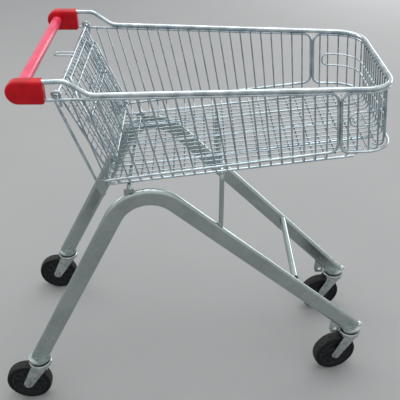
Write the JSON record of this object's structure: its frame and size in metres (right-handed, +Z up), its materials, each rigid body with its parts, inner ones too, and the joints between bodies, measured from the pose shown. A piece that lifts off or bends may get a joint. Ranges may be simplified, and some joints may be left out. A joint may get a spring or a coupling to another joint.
{
  "type": "shopping cart",
  "caption": "Wire-basket shopping cart on two arched tube legs with four swivel casters, a swinging nesting gate, a fold-down child seat and a round handle.",
  "frame": {"origin": "middle of the bounding box, on the floor", "axes": "+X forward, +Y to the cart's left, +Z up"},
  "size_m": [1.0182, 0.532, 0.969],
  "materials": {
    "wire_zinc": "bright zinc-plated wire with clear lacquer",
    "tube_zinc": "zinc-plated tube, satin, slightly green-grey",
    "pressed_zinc": "pressed sheet, zinc-plated",
    "fastener_steel": "plain plated steel",
    "tyre_rubber": "solid black rubber",
    "hub_plastic": "moulded nylon, satin",
    "bush_brass": "plain turned bush",
    "cap_plastic": "moulded, glossy red",
    "sleeve_plastic": "extruded sleeve, pinkish red"
  },
  "bodies": {
    "frame": {"side_tube_left": "tube_zinc", "side_tube_right": "tube_zinc", "cross_tube": "tube_zinc", "front_stay": "tube_zinc", "rear_stay": "tube_zinc", "caster_lugs": "pressed_zinc", "head_plates": "pressed_zinc", "upper_races": "pressed_zinc", "kingpins": "pressed_zinc", "race_balls": "fastener_steel", "rim_rod": "wire_zinc", "side_frame_left": "wire_zinc", "side_frame_right": "wire_zinc", "front_frame": "wire_zinc", "gate_hook_rods": "wire_zinc", "side_wires_left": "wire_zinc", "side_wires_right": "wire_zinc", "front_wires": "wire_zinc", "front_hoop": "wire_zinc", "floor_cross_wires": "wire_zinc", "floor_long_wires": "wire_zinc", "floor_rods": "wire_zinc", "gate_stop_rod": "wire_zinc", "corner_tabs": "wire_zinc", "handle_core": "wire_zinc", "handle_sleeve": "sleeve_plastic", "handle_cap_left": "cap_plastic", "handle_cap_right": "cap_plastic"},
    "gate": {"bag_hook": "wire_zinc", "gate_frame": "wire_zinc", "gate_wires": "wire_zinc", "seat_lugs": "wire_zinc", "flap_pin": "wire_zinc"},
    "seat_back": {"seat_back_frame": "wire_zinc", "seat_back_wires": "wire_zinc"},
    "seat_flap": {"seat_flap": "wire_zinc"},
    "fork_rear_left": {"fork_rear_left": "pressed_zinc", "axle_bolt_rear_left": "fastener_steel"},
    "wheel_rear_left": {"hub_rear_left": "hub_plastic", "bush_rear_left": "bush_brass", "tyre_rear_left": "tyre_rubber"},
    "fork_rear_right": {"fork_rear_right": "pressed_zinc", "axle_bolt_rear_right": "fastener_steel"},
    "wheel_rear_right": {"hub_rear_right": "hub_plastic", "bush_rear_right": "bush_brass", "tyre_rear_right": "tyre_rubber"},
    "fork_front_left": {"fork_front_left": "pressed_zinc", "axle_bolt_front_left": "fastener_steel"},
    "wheel_front_left": {"hub_front_left": "hub_plastic", "bush_front_left": "bush_brass", "tyre_front_left": "tyre_rubber"},
    "fork_front_right": {"fork_front_right": "pressed_zinc", "axle_bolt_front_right": "fastener_steel"},
    "wheel_front_right": {"hub_front_right": "hub_plastic", "bush_front_right": "bush_brass", "tyre_front_right": "tyre_rubber"}
  },
  "joints": [
    {"name": "swivel_rear_left", "type": "hinge", "parent": "frame", "child": "fork_rear_left", "pos_m": [-0.4066, 0.235, 0.14], "axis": [0, 0, 1], "continuous": true},
    {"name": "spin_rear_left", "type": "hinge", "parent": "fork_rear_left", "child": "wheel_rear_left", "pos_m": [-0.4466, 0.235, 0.0625], "axis": [0, 1, 0], "continuous": true},
    {"name": "swivel_rear_right", "type": "hinge", "parent": "frame", "child": "fork_rear_right", "pos_m": [-0.4066, -0.235, 0.14], "axis": [0, 0, 1], "continuous": true},
    {"name": "spin_rear_right", "type": "hinge", "parent": "fork_rear_right", "child": "wheel_rear_right", "pos_m": [-0.4466, -0.235, 0.0625], "axis": [0, 1, 0], "continuous": true},
    {"name": "swivel_front_left", "type": "hinge", "parent": "frame", "child": "fork_front_left", "pos_m": [0.4754, 0.128, 0.14], "axis": [0, 0, 1], "continuous": true},
    {"name": "spin_front_left", "type": "hinge", "parent": "fork_front_left", "child": "wheel_front_left", "pos_m": [0.43601, 0.12105, 0.0625], "axis": [-0.1736, 0.9848, 0], "continuous": true},
    {"name": "swivel_front_right", "type": "hinge", "parent": "frame", "child": "fork_front_right", "pos_m": [0.4754, -0.128, 0.14], "axis": [0, 0, 1], "continuous": true},
    {"name": "spin_front_right", "type": "hinge", "parent": "fork_front_right", "child": "wheel_front_right", "pos_m": [0.43643, -0.137, 0.0625], "axis": [-0.225, 0.9744, 0], "continuous": true},
    {"name": "gate_swing", "type": "hinge", "parent": "frame", "child": "gate", "pos_m": [-0.2636, 0, 0.9293], "axis": [0, -1, 0], "range_deg": [0, 65]},
    {"name": "seat_back_fold", "type": "hinge", "parent": "gate", "child": "seat_back", "pos_m": [-0.16079, 0, 0.73406], "axis": [0, 1, 0], "range_deg": [0, 52]},
    {"name": "seat_flap_fold", "type": "hinge", "parent": "gate", "child": "seat_flap", "pos_m": [-0.21158, 0, 0.8363], "axis": [0, 1, 0], "range_deg": [0, 110]}
  ],
  "couplings": [
    {"joint": "seat_flap_fold", "follows": "seat_back_fold", "ratio": 2.1154}
  ]
}
